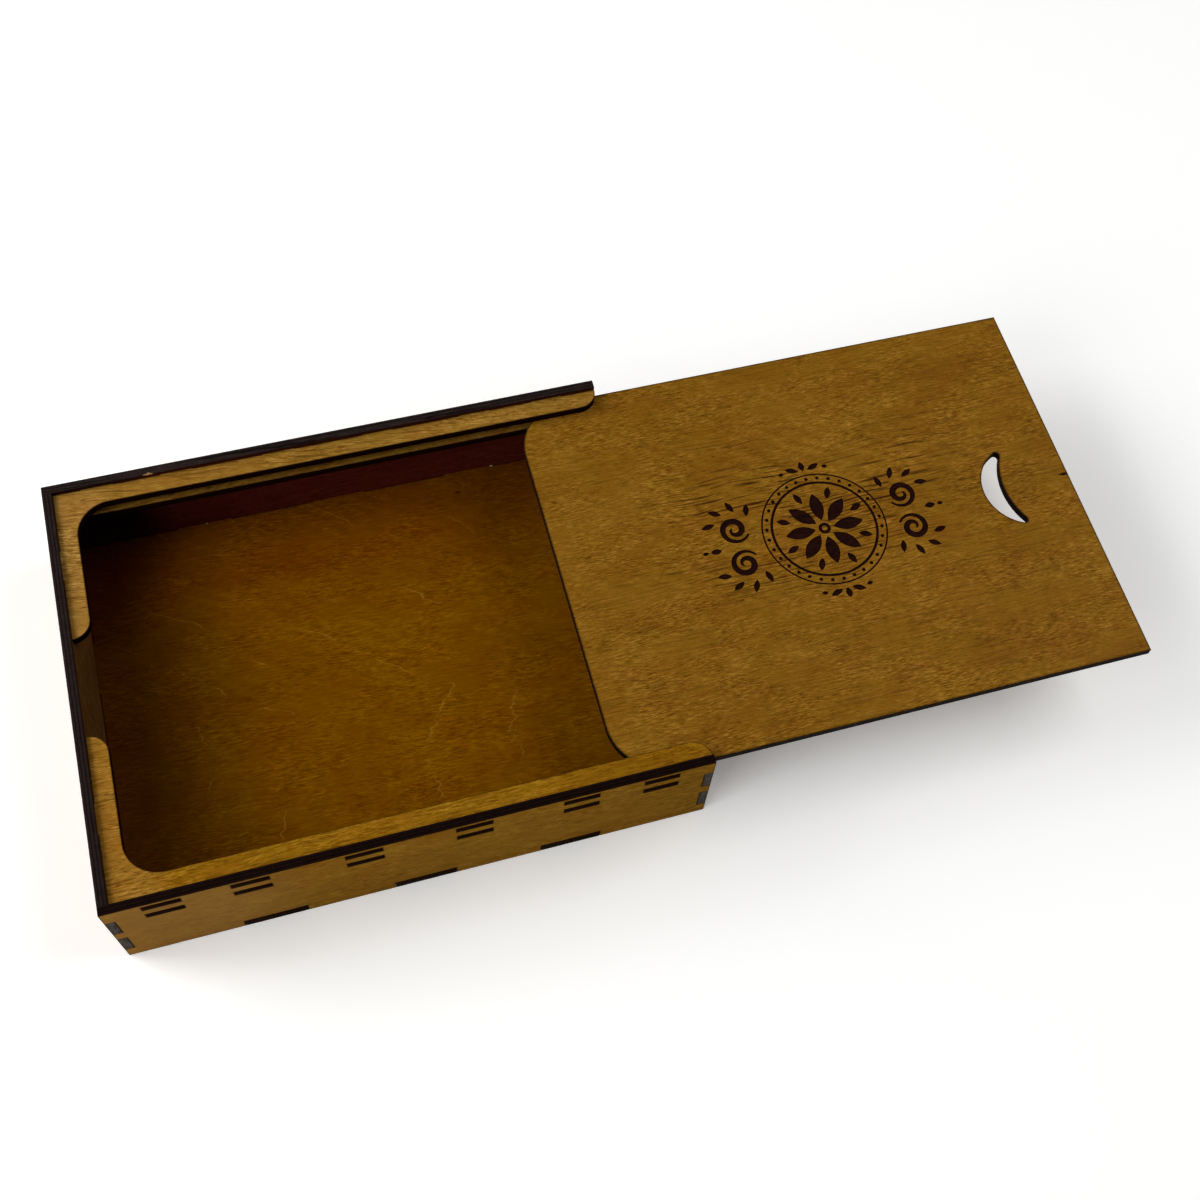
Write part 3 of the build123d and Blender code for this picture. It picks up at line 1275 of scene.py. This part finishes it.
@dataclass
class SlidingLid:
    """The lid with its carved rosette and scrolls, and the small mark at its square end."""

    centre: Triple = (166.75, 0.0, 39.75)
    depth: float = 0.35
    headroom: float = 1.0
    hub_radius: float = 2.3
    hub_width: float = 1.3
    petal_count: int = 8
    petal_length: float = 11.6
    petal_width: float = 5.0
    petal_gap: float = 3.4
    bud_length: float = 5.2
    bud_width: float = 2.4
    bud_share: float = 0.76
    ring_radius: float = 20.0
    ring_width: float = 1.0
    bead_count: int = 32
    bead_size: float = 1.5
    bead_gap: float = 1.4
    hoop_gap: float = 3.4
    hoop_width: float = 0.6
    scroll_radius: float = 5.4
    scroll_width: float = 2.4
    scroll_turns: float = 1.55
    leaf_length: float = 5.2
    leaf_width: float = 2.2
    leaf_gap: float = 1.6
    lozenge_length: float = 4.2
    lozenge_width: float = 2.3
    drop_length: float = 2.4
    drop_width: float = 1.5
    # The cuts that split the lid's broad faces miss the ornament's axes by this much.
    SPLIT_ASIDE: ClassVar[tuple[float, float]] = (0.37, 0.23)

    def build(self, groups: SharedGroups) -> None:
        """Build the lid and carve its ornament.

        Args:
            groups: The shared shader groups.
        """
        sheet = Sheet("sliding_lid", Body.LID, Slot.LID, Lay.LEVEL, LID_STAIN,
                      shift=(-150.0, 25.0, 140.0),
                      spots=(Spot((263.4, 0.6, 39.75), (2.4, 0.8, 1.0)),),
                      flame=Spot((165.0, 12.0, 39.75), (70.0, 40.0, 20.0)),
                      splits=tuple((axis, self.centre[axis] + aside)
                                   for axis, aside in enumerate(self.SPLIT_ASIDE)))
        piece = sheet.build(groups)
        carve(piece, self.ornament())
        sheet.place(piece)

    def ornament(self) -> bpy.types.Object:
        """Draw the ornament by rule and thicken it into a carving tool.

        Returns:
            Closed prisms that reach from the carving's floor to above the lid.
        """
        rule = Pattern("ornament", sizes_of(self))
        given = rule.given
        flat = rule.join(self.rosette(rule), self.sprays(rule))
        flat = rule.shape("RealizeInstances", Geometry=flat)
        down = rule.math("LESS_THAN", rule.split(rule.shape("InputNormal"))[2], 0.0)
        flat = rule.shape("FlipFaces", Mesh=flat, Selection=down)
        height = rule.math("ADD", given["Depth"], given["Headroom"])
        lifted = rule.shape("ExtrudeMesh", {"mode": "FACES"}, Mesh=flat, Individual=False,
                            Offset_Scale=height)
        closed = rule.join(lifted, rule.shape("FlipFaces", Mesh=flat))
        closed = rule.shape("MergeByDistance", Geometry=closed, Distance=0.001)
        floor = rule.vector("SUBTRACT", given["Centre"], rule.gather(0.0, 0.0, given["Depth"]))
        placed = rule.shape("SetPosition", Geometry=closed, Offset=floor)
        rule.finish(rule.moved(placed, scale=(MM, MM, MM)), CARVED.material())
        return rule.made("ornament")

    def rosette(self, rule: Pattern) -> Socket:
        """Draw the petals, the buds between them and the beaded double ring.

        Args:
            rule: The tree to draw in.

        Returns:
            The flat shapes.
        """
        given = rule.given
        petal = rule.leaf(given["Petal Length"], given["Petal Width"])
        bud = rule.leaf(given["Bud Length"], given["Bud Width"])
        bead = rule.leaf(given["Bead Size"], given["Bead Size"])
        ring = given["Ring Radius"]
        out = rule.math("MULTIPLY_ADD", given["Petal Length"], 0.5, given["Petal Gap"])
        return rule.join(
            rule.round_about(petal, given["Petal Count"], out),
            rule.round_about(bud, given["Petal Count"], rule.times(ring, given["Bud Share"]), 0.5),
            rule.band(given["Hub Radius"], given["Hub Width"]),
            rule.band(ring, given["Ring Width"]),
            rule.band(rule.math("ADD", ring, given["Hoop Gap"]), given["Hoop Width"]),
            rule.round_about(bead, given["Bead Count"],
                             rule.math("ADD", ring, given["Bead Gap"])),
        )

    def sprays(self, rule: Pattern) -> Socket:
        """Draw the scrolls and leaves on both sides, and the lozenges on the axes.

        Args:
            rule: The tree to draw in.

        Returns:
            The flat shapes.
        """
        given = rule.given
        leaf = rule.leaf(given["Leaf Length"], given["Leaf Width"])
        out = rule.math("MULTIPLY_ADD", given["Leaf Length"], 0.5,
                        rule.math("ADD", given["Scroll Radius"], given["Leaf Gap"]))
        fan = []
        for degrees in (20, 58, 96, 134):
            angle = math.radians(degrees)
            place = rule.gather(rule.times(out, math.cos(angle)),
                                rule.times(out, math.sin(angle)), 0.0)
            fan.append(rule.moved(leaf, place, angle - 0.5))
        scroll = rule.scroll(given["Scroll Radius"], given["Scroll Width"], given["Scroll Turns"])
        curl = rule.moved(scroll, turn=math.radians(-150))
        spray = rule.moved(rule.join(curl, *fan), (32.6, 7.2, 0.0))
        lozenge = rule.leaf(given["Lozenge Length"], given["Lozenge Width"])
        drop = rule.leaf(given["Drop Length"], given["Drop Width"])
        tip = rule.join(rule.moved(lozenge, (41.6, 0.0, 0.0)), rule.moved(drop, (45.6, 0.0, 0.0)))
        crown = [rule.moved(lozenge, (0.0, 27.2, 0.0), math.pi / 2)]
        for side in (1, -1):
            crown.append(rule.moved(leaf, (4.2 * side, 26.2, 0.0), 0.35 * side))
            crown.append(rule.moved(drop, (8.6 * side, 25.4, 0.0), -0.2 * side))
        above = rule.join(*crown)
        beside = rule.join(spray, rule.moved(spray, scale=(1.0, -1.0, 1.0)), tip)
        return rule.join(beside, rule.moved(beside, scale=(-1.0, 1.0, 1.0)), above,
                         rule.moved(above, scale=(1.0, -1.0, 1.0)))


@dataclass
class GlueTraces:
    """Small beads of dried glue in the seam between the floor and the back wall."""

    start: Triple = (-84.0, 75.9, 5.1)
    end: Triple = (96.3, 75.9, 5.1)
    count: int = 70
    bead: float = 0.3
    kept: float = 0.09
    seed: int = 5

    def build(self) -> None:
        """Scatter the beads along the seam."""
        rule = Pattern("glue_beads", sizes_of(self))
        given = rule.given
        line = rule.shape("MeshLine", {"mode": "END_POINTS"}, Count=given["Count"],
                          Start_Location=given["Start"])
        run = rule.math("DIVIDE", rule.shape("InputIndex"), rule.minus(given["Count"], 1))
        step = rule.scaled(rule.vector("SUBTRACT", given["End"], given["Start"]), run)
        line = rule.shape("SetPosition", Geometry=line,
                          Position=rule.vector("ADD", given["Start"], step))
        chance = self.chance(rule, 0.0, 1.0, 0)
        size = self.chance(rule, 0.5, 1.5, 7)
        ball = rule.shape("MeshIcoSphere", Radius=given["Bead"], Subdivisions=2)
        scale = rule.gather(rule.times(size, 1.7), size, rule.times(size, 0.7))
        beads = rule.shape("InstanceOnPoints", Points=line,
                           Selection=rule.math("LESS_THAN", chance, given["Kept"]),
                           Instance=ball, Scale=scale)
        rule.finish(rule.moved(beads, scale=(MM, MM, MM)), GLUE.material())
        piece = rule.made("glue_beads")
        for face in piece.data.polygons:
            face.use_smooth = True
        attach(piece, Body.BOX.value)
        report(piece)

    def chance(self, rule: Pattern, low: float, high: float, shift: int) -> Socket:
        """Draw a random number for each bead from the fixed seed.

        Args:
            rule: The tree.
            low: Lowest number.
            high: Highest number.
            shift: Added to the seed, so that two draws differ.

        Returns:
            The number.
        """
        draw = rule.node("FunctionNodeRandomValue", data_type="FLOAT")
        named = rule.by_identifier(draw)
        rule.feed(named["Min_001"], low)
        rule.feed(named["Max_001"], high)
        rule.feed(named["Seed"], rule.math("ADD", rule.given["Seed"], shift))
        return next(socket for socket in draw.outputs if socket.enabled)


@dataclass(frozen=True)
class Lamp:
    """A square lamp that faces the box: where it hangs, in degrees, and its power in watts."""

    name: str
    round_about: float
    above: float
    power: float


@dataclass
class Studio:
    """The pale table, the lights and the camera."""

    eye: Triple = (-8.29, -250.31, 533.95)
    look: Triple = (0.20085, 0.43341, -0.87853)
    upward: Triple = (0.21329, 0.85594, 0.47103)
    focal_pixels: float = 1582.25
    axis_pixels: tuple[float, float] = (67.26, -20.46)
    picture_pixels: float = 1200.0
    sensor: float = 36.0
    table_size: float = 6000.0
    table_colour: Colour = (0.8, 0.8, 0.79, 1.0)
    table_as_seen: Colour = (1.0, 1.0, 0.985, 1.0)
    glow_near: float = 0.2
    glow_far: float = 0.95
    room_light: float = 0.05
    lamp_size: float = 900.0
    lamp_distance: float = 1480.0
    lamps: tuple[Lamp, ...] = (
        Lamp("window_back", 150.0, 30.0, 15.3),
        Lamp("window_front", 210.0, 30.0, 8.6),
        Lamp("window_top", 180.0, 48.0, 3.4),
        Lamp("opposite", 0.0, 50.0, 8.6),
    )

    def build(self) -> None:
        """Build everything that isn't the box."""
        self.table()
        self.camera()
        self.lights()

    def table(self) -> None:
        """Lay the table, whose camera view is lifted towards white but keeps its shadow."""
        shape = bmesh.new()
        bmesh.ops.create_circle(shape, cap_ends=True, segments=64, radius=self.table_size * MM)
        table = linked("table_top", mesh_of(shape, "table_top"))
        made = bpy.data.materials.new("pale_table")
        bench = cleared(made)
        plain = bench.node("ShaderNodeBsdfDiffuse")
        glow = bench.node("ShaderNodeEmission")
        glow.inputs["Color"].default_value = WHITE
        rays = bench.node("ShaderNodeLightPath")
        seen = bench.math("MAXIMUM", rays.outputs["Is Camera Ray"], rays.outputs["Is Glossy Ray"])
        seen = bench.math("MAXIMUM", seen, rays.outputs["Is Transmission Ray"])
        bench.feed(plain.inputs["Color"], bench.mix(seen, self.table_colour, self.table_as_seen))
        where = bench.node("ShaderNodeTexCoord")
        far = bench.vector("LENGTH", where.outputs["Object"])
        lift = bench.fade(far, 0.5, 1.7, self.glow_near, self.glow_far)
        bench.feed(glow.inputs["Strength"], bench.times(seen, lift))
        both = bench.node("ShaderNodeAddShader")
        bench.feed(both.inputs[0], plain.outputs[0])
        bench.feed(both.inputs[1], glow.outputs[0])
        out = bench.node("ShaderNodeOutputMaterial")
        bench.feed(out.inputs["Surface"], both.outputs[0])
        table.data.materials.append(made)

    def camera(self) -> None:
        """Set the camera where the photograph was taken from."""
        data = bpy.data.cameras.new("camera")
        data.sensor_width = self.sensor
        data.lens = self.focal_pixels / self.picture_pixels * self.sensor
        data.shift_x, data.shift_y = (-offset / self.picture_pixels for offset in
                                      (self.axis_pixels[0], -self.axis_pixels[1]))
        data.clip_start = 0.01
        camera = linked("camera", data)
        look = Vector(self.look).normalized()
        side = look.cross(Vector(self.upward)).normalized()
        turn = Matrix((side, side.cross(look), -look)).transposed().to_4x4()
        camera.matrix_world = Matrix.Translation(Vector(self.eye) * MM) @ turn
        bpy.context.scene.camera = camera

    def lights(self) -> None:
        """Hang the lamps, most of them to the left like a wide window, and light the room."""
        for lamp in self.lamps:
            self.hang(lamp)
        world = bpy.data.worlds.new("room")
        bpy.context.scene.world = world
        bench = cleared(world)
        rays = bench.node("ShaderNodeLightPath")
        air = bench.node("ShaderNodeBackground")
        air.inputs["Color"].default_value = WHITE
        seen = bench.math("MAXIMUM", rays.outputs["Is Camera Ray"],
                          rays.outputs["Is Transmission Ray"])
        bench.feed(air.inputs["Strength"], bench.math("MAXIMUM", seen, self.room_light))
        out = bench.node("ShaderNodeOutputWorld")
        bench.feed(out.inputs["Surface"], air.outputs[0])
        bpy.context.scene.view_settings.view_transform = "Standard"

    def hang(self, lamp: Lamp) -> None:
        """Hang one lamp.

        Args:
            lamp: The lamp, whose first angle runs round from the X axis as seen from above, and
                whose second one rises from the table.
        """
        data = bpy.data.lights.new(lamp.name, "AREA")
        data.shape = "SQUARE"
        data.size = self.lamp_size * MM
        data.energy = lamp.power
        hung = linked(lamp.name, data)
        turn, rise = math.radians(lamp.round_about), math.radians(lamp.above)
        hung.location = Vector((math.cos(turn) * math.cos(rise), math.sin(turn) * math.cos(rise),
                                math.sin(rise))) * self.lamp_distance * MM
        hung.rotation_euler = (-hung.location).to_track_quat("-Z", "Y").to_euler()


def main() -> None:
    """Build the box's sub-assemblies and the studio, and note the sizes."""
    logging.basicConfig(level=logging.INFO, format="%(message)s")
    groups = SharedGroups(BirchGrain().build(), BurntCut().build(), ScorchRim().build(),
                          MarkedPlace().build())
    Carcass().build(groups)
    LidGuides().build(groups)
    SlidingLid().build(groups)
    GlueTraces().build()
    Studio().build()


if __name__ == "__main__":
    main()
